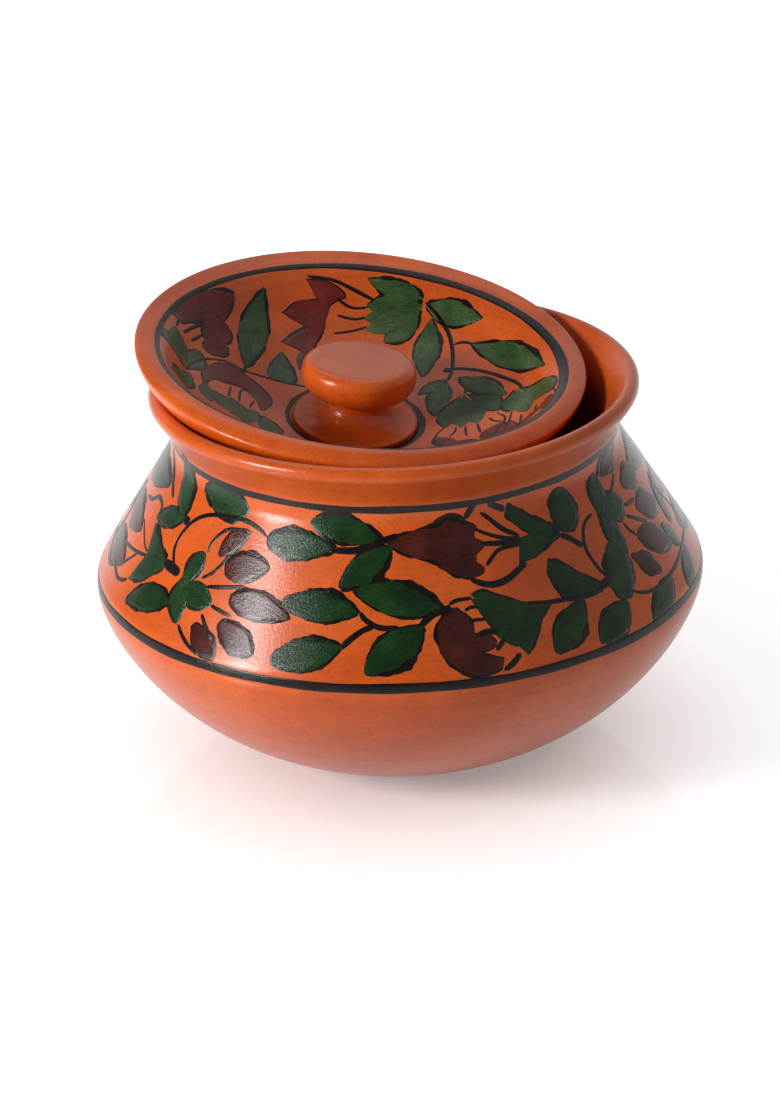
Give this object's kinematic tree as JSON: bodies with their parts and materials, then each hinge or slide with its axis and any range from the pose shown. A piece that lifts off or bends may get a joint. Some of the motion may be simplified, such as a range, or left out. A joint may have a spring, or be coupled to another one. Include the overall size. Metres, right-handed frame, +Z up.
{
  "type": "lidded handi pot",
  "caption": "Round-bellied clay cooking pot with a short flared collar and rolled lip, under a loose dished lid with a turned knob to lift it by.",
  "frame": {"origin": "centre of the flat foot, on the surface the pot stands on", "axes": "+Z up the pot's axis; -Y towards the viewer of the picture, +X to the viewer's right"},
  "size_m": [0.24, 0.24, 0.1701],
  "materials": {
    "pot_clay": "satin varnished terracotta",
    "lid_clay": "satin varnished terracotta",
    "knob_clay": "satin varnished terracotta"
  },
  "bodies": {
    "pot": {"pot": "pot_clay"},
    "lid": {"lid_dish": "lid_clay", "lid_knob": "knob_clay"}
  },
  "joints": [
    {"name": "lid_lift", "type": "slide", "parent": "pot", "child": "lid", "axis": [0, 0, 1], "range_m": [0, 0.12]}
  ]
}
